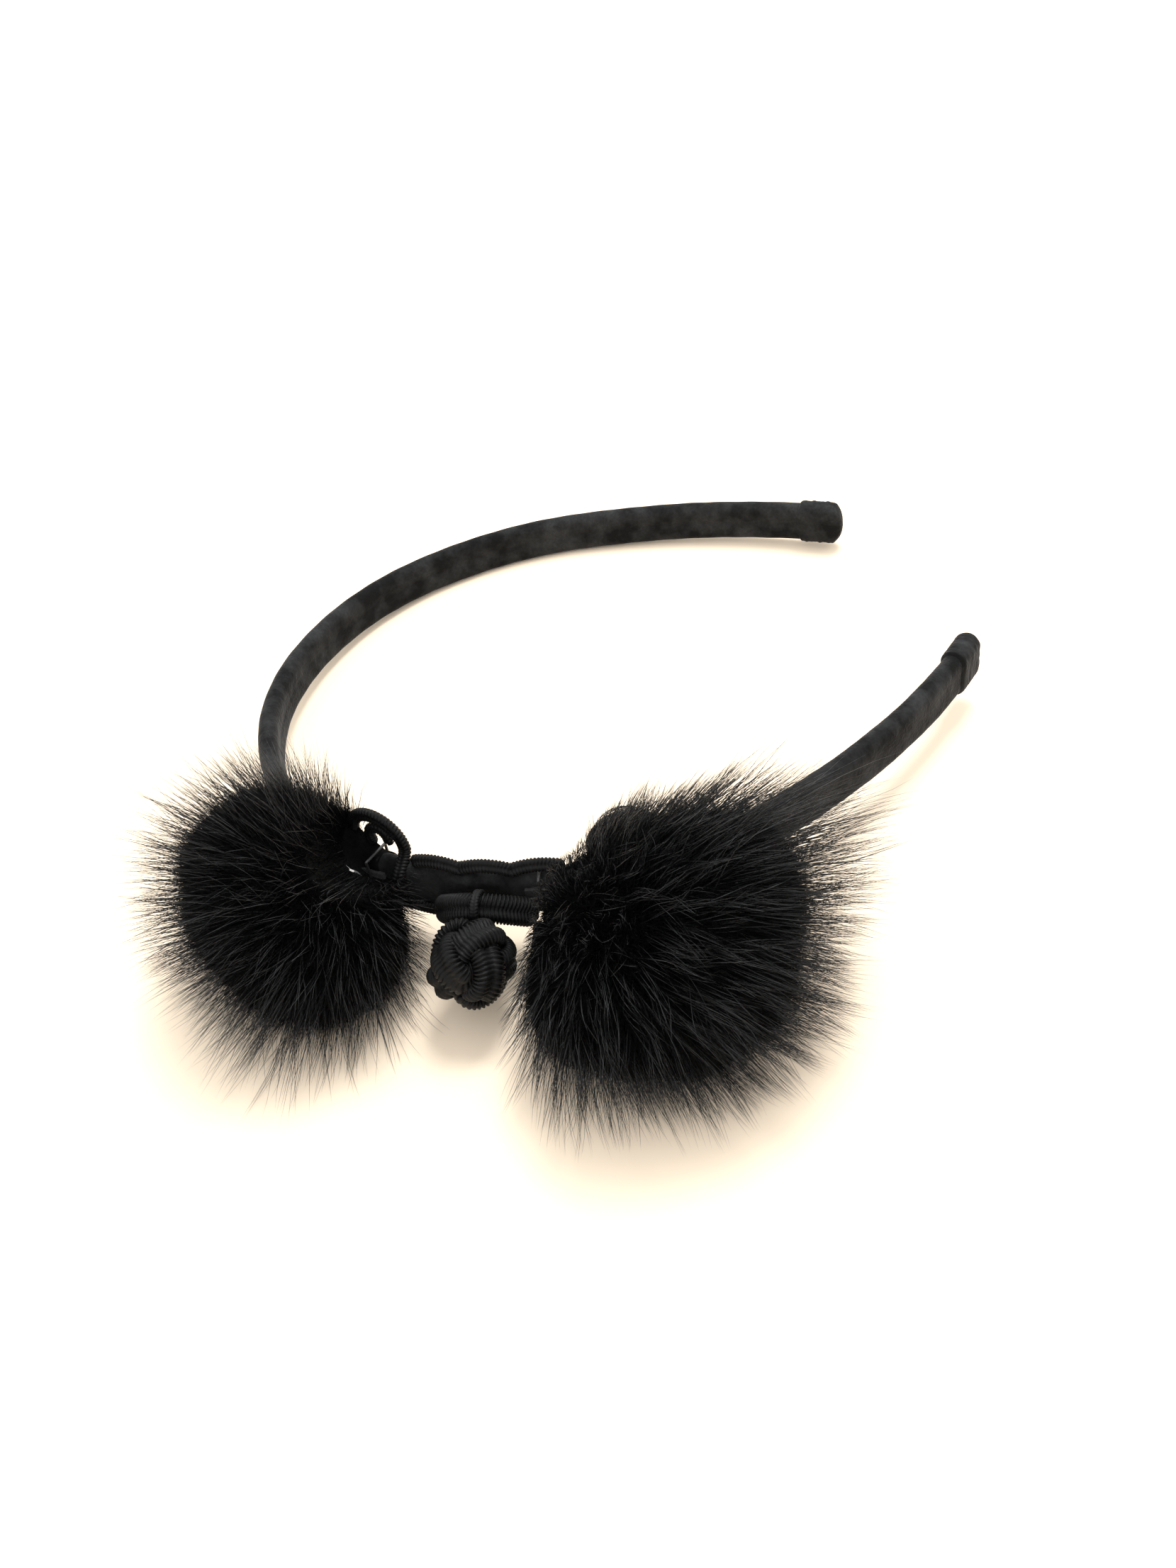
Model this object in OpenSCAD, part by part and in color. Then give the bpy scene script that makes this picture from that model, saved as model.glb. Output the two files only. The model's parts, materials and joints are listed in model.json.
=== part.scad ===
// Headband (alice band) for a costume: a velvet-covered sprung band that
// carries two fur ball ears with a corded frog fastening and its knotted
// button between them. It lies on one long edge, held up at the decorated
// side by the two fur balls.
//
// Lengths are millimetres. Places on the band are given by three numbers:
// along (arc length from the middle of the crown, positive towards the
// decorated leg), out (away from the head, from the strip's middle line)
// and up (along the strip's width).

/* [Band] */
// radius of the crown arc, at the strip's middle line
crown_radius = 69; // [55:0.5:90]
// half angle that the crown arc covers
crown_angle = 77; // [40:1:90]
// radius of each side where the crown turns into a leg
side_radius = 83.5; // [60:0.5:140]
// angle that each side covers
side_angle = 29.5; // [10:0.5:50]
// radius of the nearly straight leg
leg_radius = 162; // [100:1:400]
// angle that each leg covers
leg_angle = 23.5; // [5:0.5:40]
// width of the plastic strip
core_width = 8.8; // [6:0.1:30]
// thickness of the plastic strip
core_thickness = 3.2; // [1.6:0.1:5]

/* [Velvet] */
// thickness of the velvet sleeve with its pile
velvet_thickness = 0.65; // [0.3:0.05:1.5]
// length of the velvet wrapped back over each end
wrap_length = 8; // [4:0.5:20]
// thickness that the wrapped velvet adds
wrap_thickness = 0.7; // [0.3:0.05:2]

/* [Left ear] */
// place along the band where the ear is sewn on
left_ear_along = 47; // [10:0.5:70]
// outer radius of the fur ball
left_ear_radius = 20.5; // [10:0.5:35]
// distance from the gathered mouth to the ball's middle
left_ear_reach = 12.5; // [8:0.5:40]
// lean along the band, positive towards the button
left_ear_lean = -20; // [-75:1:75]
// angle that the ball sits up above the band's middle
left_ear_rise = 17; // [-30:1:40]

/* [Right ear] */
// place along the band where the ear is sewn on
right_ear_along = 88; // [70:0.5:120]
// outer radius of the fur ball
right_ear_radius = 22.5; // [10:0.5:35]
// distance from the gathered mouth to the ball's middle
right_ear_reach = 22.5; // [8:0.5:40]
// lean along the band, positive away from the button
right_ear_lean = 57; // [-75:1:75]
// angle that the ball sits up above the band's middle
right_ear_rise = 8; // [-30:1:40]

/* [Ear make-up] */
// thickness of the pelt: skin and underfur
pelt_thickness = 6; // [2:0.25:10]
// radius of the gathered neck of the pelt
neck_radius = 4; // [2:0.25:8]
// radius of the drawstring that gathers the neck
drawstring_radius = 0.5; // [0.2:0.05:1]
// how much the fur is pressed flat where the ball rests
fur_squash = 3; // [0:0.1:5]
// half length of the felt pad under each ear
pad_half = 6; // [3:0.5:12]
// thickness of the felt pad
pad_thickness = 0.8; // [0.4:0.1:2]
// radius of the sewing thread
thread_radius = 0.3; // [0.1:0.05:0.6]
// room kept between the fur and the band
fur_clearance = 0.4; // [0.3:0.1:2]
// slope of the free edge round the neck, so that the ear can swing
neck_slope = 14; // [5:1:40]

/* [Frog and button] */
// place along the band of the middle of the frog
frog_along = 74.5; // [50:0.5:110]
// radius of the knotted button
button_radius = 8.4; // [4:0.1:15]
// radius of the thick cord loop that carries the button
loop_cord_radius = 2.1; // [1:0.1:4]
// half length of the thick cord loop
loop_half = 9.5; // [5:0.5:20]
// distance of the loop below the strip's middle
loop_drop = 2; // [-5:0.5:5]
// radius of the cord in the button's shank ring
shank_cord_radius = 0.7; // [0.3:0.1:1.5]
// radius of the scalloped upper braid
upper_braid_radius = 0.9; // [0.4:0.1:2]
// half length of the upper braid
upper_braid_half = 15; // [8:0.5:30]
// number of scallops on the upper braid
scallops = 3; // [1:1:8]
// height of each scallop
scallop_height = 1.0; // [0:0.1:4]
// radius of the twisted lower braid
lower_braid_radius = 0.7; // [0.3:0.1:2]
// length of the lower braid towards the left ear, from the frog's middle
lower_braid_left = 17; // [8:0.5:30]
// length of the lower braid towards the right ear
lower_braid_right = 9; // [4:0.5:20]
// radius of the gimp cord in the curls
curl_cord_radius = 1.1; // [0.4:0.1:2]
// radius of the left and right curls
curl_radius = 6.6; // [3:0.1:12]
// radius of the small inner curl
inner_curl_radius = 2.4; // [1.5:0.1:6]
// distance of the left curl from the middle of the frog
left_curl_offset = 24.5; // [15:0.5:40]
// distance of the right curl from the middle of the frog
right_curl_offset = 28; // [15:0.5:40]
// length of the loose cord end beside the button
tail_length = 7; // [3:0.5:15]
// clearance between cords, thread and velvet
cord_gap = 0.05; // [0.02:0.01:0.3]

/* [View] */
// node to draw

/* [Hidden] */
$fn = 48;

// sleeve section: a flat strip with fully rounded edges
sleeve_gap = 0.05;
core_half = core_thickness / 2;
sleeve_half = core_half + sleeve_gap + velvet_thickness;
sleeve_flat = core_width / 2 - core_half;
sleeve_up = sleeve_flat + sleeve_half;
wrap_half = sleeve_half + wrap_thickness;
arc_step = 0.01;
arc_lap = 0.2;

// arc lengths of the three arcs on each side
crown_len = crown_radius * crown_angle * PI / 180;
side_len = side_radius * side_angle * PI / 180;
leg_len = leg_radius * leg_angle * PI / 180;
half_len = crown_len + side_len + leg_len;
end_heading = crown_angle + side_angle + leg_angle;

// outward direction at a heading, and the centres of the three arcs
function outward(a) = [sin(a), -cos(a)];
crown_centre = [0, crown_radius];
side_centre = crown_centre + (crown_radius - side_radius) * outward(crown_angle);
leg_centre = side_centre
    + (side_radius - leg_radius) * outward(crown_angle + side_angle);

// heading at an arc length, the length at a heading, the point there
function heading(l) =
    l <= crown_len ? l / crown_radius * 180 / PI :
    l <= crown_len + side_len
        ? crown_angle + (l - crown_len) / side_radius * 180 / PI
        : crown_angle + side_angle
            + (l - crown_len - side_len) / leg_radius * 180 / PI;
function arc_at(l) =
    l <= crown_len ? [crown_centre, crown_radius] :
    l <= crown_len + side_len ? [side_centre, side_radius]
        : [leg_centre, leg_radius];
function right_point(l, out) =
    let (a = arc_at(l)) a[0] + (a[1] + out) * outward(heading(l));
function place(l, out, up) =
    let (p = right_point(abs(l), out)) [l < 0 ? -p[0] : p[0], p[1], up];
function place_at_heading(a, out, up) =
    let (q = min(abs(a), end_heading),
        arc = q <= crown_angle ? [crown_centre, crown_radius] :
            q <= crown_angle + side_angle ? [side_centre, side_radius]
                : [leg_centre, leg_radius],
        p = arc[0] + (arc[1] + out) * outward(q))
    [a < 0 ? -p[0] : p[0], p[1], up];

// the ears: mouth, axis and middle of each ball
pad_out = sleeve_half + cord_gap + pad_thickness;
drawstring_ring = neck_radius * 0.45;
drawstring_set = drawstring_radius + cord_gap;
function mouth_out(lean, rise) =
    let (c = cos(lean) * cos(rise))
    pad_out + 2 * cord_gap + drawstring_radius
        + drawstring_ring * sqrt(1 - c * c) + drawstring_set * c;
function ear_axis(l, lean, rise) =
    let (h = heading(l) + lean)
    [cos(rise) * sin(h), -cos(rise) * cos(h), sin(rise)];
left_mouth = place(left_ear_along, mouth_out(left_ear_lean, left_ear_rise), 0);
left_axis = ear_axis(left_ear_along, left_ear_lean, left_ear_rise);
left_middle = left_mouth + left_ear_reach * left_axis;
right_mouth = place(right_ear_along, mouth_out(right_ear_lean, right_ear_rise), 0);
right_axis = ear_axis(right_ear_along, right_ear_lean, right_ear_rise);
right_middle = right_mouth + right_ear_reach * right_axis;

// resting plane: it touches both balls, pressed in a little, and the
// lower edge of the plain leg, whose lowest place follows the tilt
function plane_through(p) =
    let (e1 = left_middle - p, e2 = right_middle - p,
        a = left_ear_radius - fur_squash - sleeve_half,
        b = right_ear_radius - fur_squash - sleeve_half,
        g11 = e1 * e1, g12 = e1 * e2, g22 = e2 * e2,
        det = g11 * g22 - g12 * g12,
        s1 = (a * g22 - b * g12) / det, s2 = (b * g11 - a * g12) / det,
        flat = s1 * e1 + s2 * e2, n = cross(e1, e2),
        m = flat + sqrt(max(0, 1 - flat * flat)) / norm(n) * n)
    m;
function lowest_on_leg(m) =
    place_at_heading(-abs(atan2(m[0], m[1])), 0, -sleeve_flat);
function settle(m, turns) =
    turns == 0 ? m : settle(plane_through(lowest_on_leg(m)), turns - 1);
rest_up = settle(plane_through(place(-crown_len, 0, -sleeve_flat)), 12);
rest_point = lowest_on_leg(rest_up);
rest_drop = rest_up * rest_point - sleeve_half;
tilt = acos(rest_up[2]);
tilt_axis = cross(rest_up, [0, 0, 1]);

// rotation of a point by the tilt, for the box's centre
function tilted(p) =
    let (k = tilt_axis / norm(tilt_axis))
    p * cos(tilt) + cross(k, p) * sin(tilt) + k * (k * p) * (1 - cos(tilt));
edge_points = [for (i = [-60:60], s = [-1, 1])
    tilted(place(i / 60 * half_len, 0, s * sleeve_flat))];
ball_left = tilted(left_middle);
ball_right = tilted(right_middle);
wrap_reach = wrap_half + 0.5;
low_x = min(min([for (p = edge_points) p[0]]) - sleeve_half,
    ball_left[0] - left_ear_radius);
high_x = max(max([for (p = edge_points) p[0]]) + sleeve_half,
    ball_right[0] + right_ear_radius);
low_y = min(min([for (p = edge_points) p[1]]) - sleeve_half,
    ball_left[1] - left_ear_radius);
high_y = max([for (p = edge_points) p[1]]) + wrap_reach;
shift = [-(low_x + high_x) / 2, -(low_y + high_y) / 2, -rest_drop];

// the frog's button hangs from the thick cord loop
loop_lift = sleeve_half + 2 * shank_cord_radius + 0.6 + loop_cord_radius;
loop_rest = sleeve_half + cord_gap + loop_cord_radius;
ring_radius = loop_cord_radius + 0.3 + shank_cord_radius;
button_out = loop_lift + ring_radius + button_radius - shank_cord_radius;
curl_up = sleeve_up + cord_gap + curl_cord_radius + 1.2;
curl_out = -1.2;
left_curl = frog_along - left_curl_offset;
right_curl = frog_along + right_curl_offset;

// ---- building blocks ----

// lays a shape made in the band's own plane down on the table
module laid_down() {
    translate(shift) rotate(a = tilt, v = tilt_axis) children();
}

// a flat strip's section with round edges: half thickness, half flat
module strip_section(half, flat) {
    translate([-half, -flat]) square([2 * half, 2 * flat]);
    for (s = [-1, 1]) translate([0, s * flat]) circle(half);
}

// a flat strip bent along the whole band, stopping short of both ends;
// each arc is a hair slimmer than the one before it, so that they join
module swept_side(half, flat, short) {
    leg_part = leg_angle - short / leg_radius * 180 / PI;
    translate(side_centre) rotate([0, 0, crown_angle - arc_lap - 90])
        rotate_extrude(angle = side_angle + arc_lap)
            translate([side_radius, 0]) strip_section(half - arc_step, flat);
    translate(leg_centre) rotate([0, 0, crown_angle + side_angle - arc_lap - 90])
        rotate_extrude(angle = leg_part + arc_lap)
            translate([leg_radius, 0]) strip_section(half - 2 * arc_step, flat);
}

module swept_crown(half, flat) {
    translate(crown_centre) rotate([0, 0, -90 - crown_angle])
        rotate_extrude(angle = 2 * crown_angle)
            translate([crown_radius, 0]) strip_section(half, flat);
}

module swept_band(half, flat, short = 0) {
    swept_crown(half, flat);
    swept_side(half, flat, short);
    mirror([1, 0, 0]) swept_side(half, flat, short);
}

// moves children to a place on the band: x outwards, y along, z up
module on_band(l, out, up) {
    p = place(l, out, up);
    translate(p) rotate([0, 0, heading(l) - 90]) children();
}

// turns children so that +z points along an ear's axis from its mouth
module on_ear(mouth, axis) {
    translate(mouth)
        rotate([0, acos(axis[2]), atan2(axis[1], axis[0])]) children();
}

// a round cord swept along points, closed at both ends
function unit(v) = v / norm(v);
function cord_rings(pts, r, sides) =
    [for (i = [0:len(pts) - 1])
        let (a = pts[max(i - 1, 0)], b = pts[min(i + 1, len(pts) - 1)],
            t = unit(b - a), u = unit(cross(t, [0.02, 0.03, 1])), w = cross(t, u))
        for (k = [0:sides - 1])
            pts[i] + r * (cos(360 * k / sides) * u + sin(360 * k / sides) * w)];
module cord(pts, r, sides = 8) {
    n = len(pts);
    walls = [for (i = [0:n - 2], k = [0:sides - 1])
        let (j = (k + 1) % sides)
        [i * sides + k, (i + 1) * sides + k, (i + 1) * sides + j, i * sides + j]];
    first = [for (k = [0:sides - 1]) k];
    last = [for (k = [sides - 1:-1:0]) (n - 1) * sides + k];
    polyhedron(cord_rings(pts, r, sides), concat(walls, [first], [last]));
}

// how thick the pelt is: thicker where its ball is pressed over the mouth
function pelt_inset(radius, reach) = max(pelt_thickness, radius - reach + 1.5);

// half section of the fur ball with its cone to the gathered neck, shrunk by
// an inset; the cone's wide rim lies a little inside the ball, so they join
module ear_section(radius, reach, inset) {
    r = radius - inset;
    neck = max(0.5, neck_radius - 0.55 * inset);
    slope = asin(min(1, (r - neck) / reach));
    cone = reach - inset - r * sin(slope);
    rim = 0.95 * r * cos(slope);
    intersection() {
        translate([0, reach - 2 * r]) square([2 * r, 4 * r]);
        union() {
            translate([0, reach]) circle(r, $fn = 64);
            if (cone > 0.5)
                polygon([[0, inset], [neck, inset], [rim, inset + cone],
                    [0, inset + cone]]);
        }
    }
}

// half section of the wide cone that keeps the fur off the band in a swing
module swing_section(radius, reach) {
    far = 2 * (reach + radius);
    polygon([[0, 0], [neck_radius, 0],
        [neck_radius + far / tan(neck_slope), far], [0, far]]);
}

// a fur pelt: the ball, hollow for its stuffing and open at its gathered
// mouth, flat where it rests and pressed in where it meets the band
module pelt(l, curl, mouth, axis, radius, reach) {
    difference() {
        on_ear(mouth, axis) rotate_extrude($fn = 64) difference() {
            intersection() {
                ear_section(radius, reach, 0);
                swing_section(radius, reach);
            }
            ear_section(radius, reach, pelt_inset(radius, reach));
            translate([-1, -1]) square([1 + neck_radius * 0.4, reach]);
        }
        pad_room(l);
        curl_room(curl);
        head_side();
        swept_crown(sleeve_half + fur_clearance, sleeve_flat);
        swept_side(sleeve_half + fur_clearance, sleeve_flat, wrap_length);
        rotate(a = -tilt, v = tilt_axis) translate([-200, -200, rest_drop - 50])
            cube([400, 400, 50]);
    }
}

module stuffing(mouth, axis, radius, reach) {
    on_ear(mouth, axis) rotate_extrude($fn = 64)
        ear_section(radius, reach, pelt_inset(radius, reach) + 0.1);
}

// the drawstring closes the pelt's mouth just above the felt pad
module drawstring(mouth, axis) {
    on_ear(mouth, axis) translate([0, 0, -drawstring_set])
        rotate_extrude($fn = 48) translate([drawstring_ring, 0])
            circle(drawstring_radius, $fn = 24);
}

// a block bent to the band's curve: from inner to outer, from low to high
module bent_block(l, half, inner, outer, low, high) {
    span = half / crown_radius * 180 / PI;
    arc = arc_at(l);
    translate(arc[0]) rotate([0, 0, heading(l) - 90 - span])
        rotate_extrude(angle = 2 * span) translate([arc[1] + inner, low])
            square([outer - inner, high - low]);
}

// a felt pad bent to the band's outer face
module felt_pad(l) {
    bent_block(l, pad_half, sleeve_half + cord_gap, pad_out,
        -sleeve_flat, sleeve_flat);
}

// room for the pad, the band and the stitches in the fur above them
module pad_room(l) {
    high = sleeve_up + 2 * thread_radius + fur_clearance;
    bent_block(l, pad_half + fur_clearance, -sleeve_half - 1,
        pad_out + 2 * thread_radius + fur_clearance, -high, high);
}

// room in the fur for a curl that stands on the band's upper edge
module curl_room(l) {
    half = curl_radius + curl_cord_radius + 2 * fur_clearance;
    bent_block(l, half, -sleeve_half - 8,
        curl_out + curl_cord_radius + 4 * fur_clearance, 0, curl_up + half);
}

// the head's side of the band, where no fur lies at the strip's own height
module head_side() {
    high = sleeve_flat + 0.6 * (sleeve_half + fur_clearance);
    deep = 2 * max(left_ear_radius, right_ear_radius) / 3;
    translate(crown_centre) rotate([0, 0, -90 - crown_angle])
        rotate_extrude(angle = 2 * crown_angle)
            translate([crown_radius - deep, -high]) square([deep, 2 * high]);
    translate(side_centre) rotate([0, 0, crown_angle - arc_lap - 90])
        rotate_extrude(angle = side_angle + arc_lap)
            translate([side_radius - deep + arc_step, arc_step - high])
                square([deep - 2 * arc_step, 2 * (high - arc_step)]);
}

// one thread loop round the band and whatever lies on its outer face
module thread_loop(back, front, half) {
    r = thread_radius;
    for (s = [-1, 1]) translate([(front + back) / 2, 0, s * half])
        rotate([0, 90, 0]) cylinder(h = front - back, r = r, center = true, $fn = 24);
    for (x = [back, front]) {
        translate([x, 0, 0]) cylinder(h = 2 * half, r = r, center = true, $fn = 24);
        for (s = [-1, 1]) translate([x, 0, s * half]) sphere(r, $fn = 24);
    }
}

module ear_stitches(l) {
    back = -sleeve_half - thread_radius - cord_gap;
    front = sleeve_half + pad_thickness + thread_radius + 2 * cord_gap;
    half = sleeve_up + thread_radius + cord_gap;
    for (d = [-1, 1] * pad_half / 2)
        on_band(l + d, 0, 0) thread_loop(back, front, half);
}

// ---- the band ----

module band_core() {
    color([0.09, 0.09, 0.1]) laid_down()
        swept_band(core_half, sleeve_flat, 0.8);
}

module velvet_sleeve() {
    color([0.05, 0.05, 0.055]) laid_down() difference() {
        swept_band(sleeve_half, sleeve_flat, 0.8);
        swept_band(core_half + sleeve_gap, sleeve_flat);
    }
}

// velvet folded back over one end: a slightly fuller, rounded cap, whose tip
// is a hair slimmer than its bent part, so that they join
module end_wrap() {
    wrap_turn = wrap_length / leg_radius * 180 / PI;
    inner = sleeve_half + sleeve_gap;
    tip = right_point(half_len, 0);
    difference() {
        union() {
            translate(leg_centre) rotate([0, 0, end_heading - wrap_turn - 90])
                rotate_extrude(angle = wrap_turn)
                    translate([leg_radius, 0]) strip_section(wrap_half, sleeve_flat);
            translate([tip[0], tip[1], 0])
                cylinder(h = 2 * sleeve_flat, r = wrap_half - arc_step, center = true);
            for (s = [-1, 1]) translate([tip[0], tip[1], s * sleeve_flat])
                sphere(wrap_half - arc_step);
        }
        translate(leg_centre) rotate([0, 0, end_heading - 2 * wrap_turn - 90])
            rotate_extrude(angle = 2 * wrap_turn - 0.25)
                translate([leg_radius, 0]) strip_section(inner, sleeve_flat);
    }
}

module left_end_wrap() {
    color([0.06, 0.06, 0.065]) laid_down() mirror([1, 0, 0]) end_wrap();
}

module right_end_wrap() {
    color([0.06, 0.06, 0.065]) laid_down() end_wrap();
}

// ---- the ears ----

module left_ear_pelt() {
    color([0.03, 0.03, 0.04]) laid_down()
        pelt(left_ear_along, left_curl, left_mouth, left_axis, left_ear_radius, left_ear_reach);
}

module left_ear_stuffing() {
    color([0.85, 0.85, 0.82]) laid_down()
        stuffing(left_mouth, left_axis, left_ear_radius, left_ear_reach);
}

module left_ear_drawstring() {
    color([0.1, 0.1, 0.1]) laid_down() drawstring(left_mouth, left_axis);
}

module left_ear_pad() {
    color([0.08, 0.08, 0.08]) laid_down() felt_pad(left_ear_along);
}

module left_ear_stitches() {
    color([0.1, 0.1, 0.1]) laid_down() ear_stitches(left_ear_along);
}

module right_ear_pelt() {
    color([0.03, 0.03, 0.04]) laid_down()
        pelt(right_ear_along, right_curl, right_mouth, right_axis, right_ear_radius, right_ear_reach);
}

module right_ear_stuffing() {
    color([0.85, 0.85, 0.82]) laid_down()
        stuffing(right_mouth, right_axis, right_ear_radius, right_ear_reach);
}

module right_ear_drawstring() {
    color([0.1, 0.1, 0.1]) laid_down() drawstring(right_mouth, right_axis);
}

module right_ear_pad() {
    color([0.08, 0.08, 0.08]) laid_down() felt_pad(right_ear_along);
}

module right_ear_stitches() {
    color([0.1, 0.1, 0.1]) laid_down() ear_stitches(right_ear_along);
}

// ---- the frog and its button ----

// scalloped cord standing on the strip's upper edge
module frog_upper_braid() {
    base = sleeve_up + cord_gap + upper_braid_radius;
    pts = [for (i = [0:36])
        let (t = i / 36, l = frog_along + (2 * t - 1) * upper_braid_half)
        place(l, 0.3, base + scallop_height * abs(sin(180 * scallops * t)))];
    color([0.07, 0.07, 0.08]) laid_down() cord(pts, upper_braid_radius);
}

// twisted cord along the lower edge of the outer face
module frog_lower_braid() {
    reach = sleeve_half + lower_braid_radius + cord_gap;
    whole = lower_braid_left + lower_braid_right;
    pts = [for (i = [0:12])
        let (l = frog_along - lower_braid_left + i / 12 * whole)
        place(l, reach * cos(42), -sleeve_flat - reach * sin(42))];
    color([0.07, 0.07, 0.08]) laid_down() cord(pts, lower_braid_radius);
}

// gimp cord bent to an open curl that stands on the upper edge
module standing_curl(l, radius, from, to, out, up) {
    on_band(l, out, up) rotate([90, 0, 90]) rotate([0, 0, from])
        rotate_extrude(angle = to - from, $fn = 64) translate([radius, 0])
            circle(curl_cord_radius, $fn = 32);
}

module frog_left_curl() {
    color([0.07, 0.07, 0.08]) laid_down()
        standing_curl(left_curl, curl_radius, -8, 188, curl_out, curl_up);
}

module frog_inner_curl() {
    color([0.07, 0.07, 0.08]) laid_down()
        standing_curl(left_curl + 0.6, inner_curl_radius, -30, 240,
            curl_out, curl_up + inner_curl_radius / 2);
}

module frog_right_curl() {
    color([0.07, 0.07, 0.08]) laid_down()
        standing_curl(right_curl, curl_radius, -8, 188, curl_out, curl_up);
}

// thick cord that bows out from the face and carries the button
module frog_loop_cord() {
    pts = [for (i = [0:16])
        let (t = i / 8 - 1)
        place(frog_along + t * loop_half,
            loop_rest + (loop_lift - loop_rest) * cos(90 * t), -loop_drop)];
    color([0.08, 0.08, 0.09]) laid_down() cord(pts, loop_cord_radius, 12);
}

// loose end of the loop's cord, under its right-hand end
module frog_cord_tail() {
    r = loop_cord_radius * 0.5;
    start = frog_along + loop_half - 0.5;
    under = -loop_drop - loop_cord_radius - r - 2 * cord_gap;
    pts = [for (i = [0:6])
        let (t = i / 6)
        place(start, loop_rest - 1 + t * tail_length, under - 0.8 * t)];
    color([0.08, 0.08, 0.09]) laid_down() cord(pts, r);
}

// ring of cord round the loop, from which the button swings
module button_shank() {
    color([0.08, 0.08, 0.09]) laid_down()
        on_band(frog_along, loop_lift, -loop_drop) rotate([90, 0, 0])
            rotate_extrude($fn = 64) translate([ring_radius, 0])
                circle(shank_cord_radius, $fn = 24);
}

// the knotted ball button
module button_knot() {
    color([0.06, 0.06, 0.07]) laid_down()
        on_band(frog_along, button_out, -loop_drop) sphere(button_radius, $fn = 96);
}

band_core();
velvet_sleeve();
left_end_wrap();
right_end_wrap();
left_ear_pelt();
left_ear_stuffing();
left_ear_drawstring();
left_ear_pad();
left_ear_stitches();
right_ear_pelt();
right_ear_stuffing();
right_ear_drawstring();
right_ear_pad();
right_ear_stitches();
frog_upper_braid();
frog_lower_braid();
frog_left_curl();
frog_inner_curl();
frog_right_curl();
frog_loop_cord();
frog_cord_tail();
button_shank();
button_knot();
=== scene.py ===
import json
import math

import bpy
import numpy as np
from mathutils import Matrix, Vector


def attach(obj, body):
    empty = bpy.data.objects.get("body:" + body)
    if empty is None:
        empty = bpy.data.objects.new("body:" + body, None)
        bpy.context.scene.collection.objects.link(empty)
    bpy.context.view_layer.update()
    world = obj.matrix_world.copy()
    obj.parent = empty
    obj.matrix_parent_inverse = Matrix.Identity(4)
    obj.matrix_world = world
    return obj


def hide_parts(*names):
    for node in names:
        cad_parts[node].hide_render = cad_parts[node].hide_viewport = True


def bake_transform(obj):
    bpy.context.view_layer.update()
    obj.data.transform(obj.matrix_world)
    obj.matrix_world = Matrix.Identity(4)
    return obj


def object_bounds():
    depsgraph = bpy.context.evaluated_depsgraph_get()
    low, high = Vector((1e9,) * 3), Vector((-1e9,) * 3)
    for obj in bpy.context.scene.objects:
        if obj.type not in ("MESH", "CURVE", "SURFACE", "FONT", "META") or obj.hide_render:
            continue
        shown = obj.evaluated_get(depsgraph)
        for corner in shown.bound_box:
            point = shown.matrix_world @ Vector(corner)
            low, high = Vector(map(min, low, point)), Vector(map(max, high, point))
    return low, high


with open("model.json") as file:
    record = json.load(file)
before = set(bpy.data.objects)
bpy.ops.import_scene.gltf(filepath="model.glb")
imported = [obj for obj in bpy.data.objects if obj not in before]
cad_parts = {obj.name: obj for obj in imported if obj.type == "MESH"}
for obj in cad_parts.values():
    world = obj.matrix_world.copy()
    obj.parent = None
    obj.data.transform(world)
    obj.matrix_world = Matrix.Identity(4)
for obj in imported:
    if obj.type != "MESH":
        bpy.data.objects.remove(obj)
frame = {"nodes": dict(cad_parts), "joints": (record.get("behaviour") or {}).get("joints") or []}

cad_low, cad_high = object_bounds()

# ---------------------------------------------------------------------------
# Table top, studio light and camera.
# The headband lies on a seamless white table. One soft lamp hangs nearly
# overhead, a little behind it, and white walls all round fill the shadows.
# ---------------------------------------------------------------------------

# The band is three arcs on each side of its crown, in its own tilted plane.
CROWN_RADIUS, SIDE_RADIUS, LEG_RADIUS = 0.069, 0.0835, 0.162
ARC_HEADINGS = np.radians([0.0, 77.0, 106.5, 130.0])
ARC_RADII = np.array([CROWN_RADIUS, SIDE_RADIUS, LEG_RADIUS])
ARC_STARTS = np.concatenate([[0.0], np.cumsum(np.diff(ARC_HEADINGS) * ARC_RADII)])
HALF_LENGTH = ARC_STARTS[3]


def outward(heading):
    """Direction away from the head: the crown's lowest direction, turned by the heading."""
    return np.stack([np.sin(heading), -np.cos(heading)], -1)


ARC_CENTRES = np.zeros((3, 2))
ARC_CENTRES[0] = 0.0, CROWN_RADIUS
ARC_CENTRES[1] = ARC_CENTRES[0] + (CROWN_RADIUS - SIDE_RADIUS) * outward(ARC_HEADINGS[1])
ARC_CENTRES[2] = ARC_CENTRES[1] + (SIDE_RADIUS - LEG_RADIUS) * outward(ARC_HEADINGS[2])


def on_band_plane(along, out, up):
    """Place in the band's plane: the arc's centre plus radius and out times the outward direction.

    The left half is the right one mirrored, and past an end the line runs straight on.
    """
    along, out, up = np.broadcast_arrays(*np.atleast_1d(along, out, up))
    length = np.abs(along)
    heading = np.interp(length, ARC_STARTS, ARC_HEADINGS)
    arc = np.clip(np.searchsorted(ARC_STARTS, length, side="left") - 1, 0, 2)
    flat = ARC_CENTRES[arc] + (ARC_RADII[arc] + out)[..., None] * outward(heading)
    ahead = np.stack([np.cos(heading), np.sin(heading)], -1)
    flat = flat + np.maximum(length - HALF_LENGTH, 0)[..., None] * ahead
    return np.stack([np.where(along < 0, -flat[..., 0], flat[..., 0]), flat[..., 1], up], -1)


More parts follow.
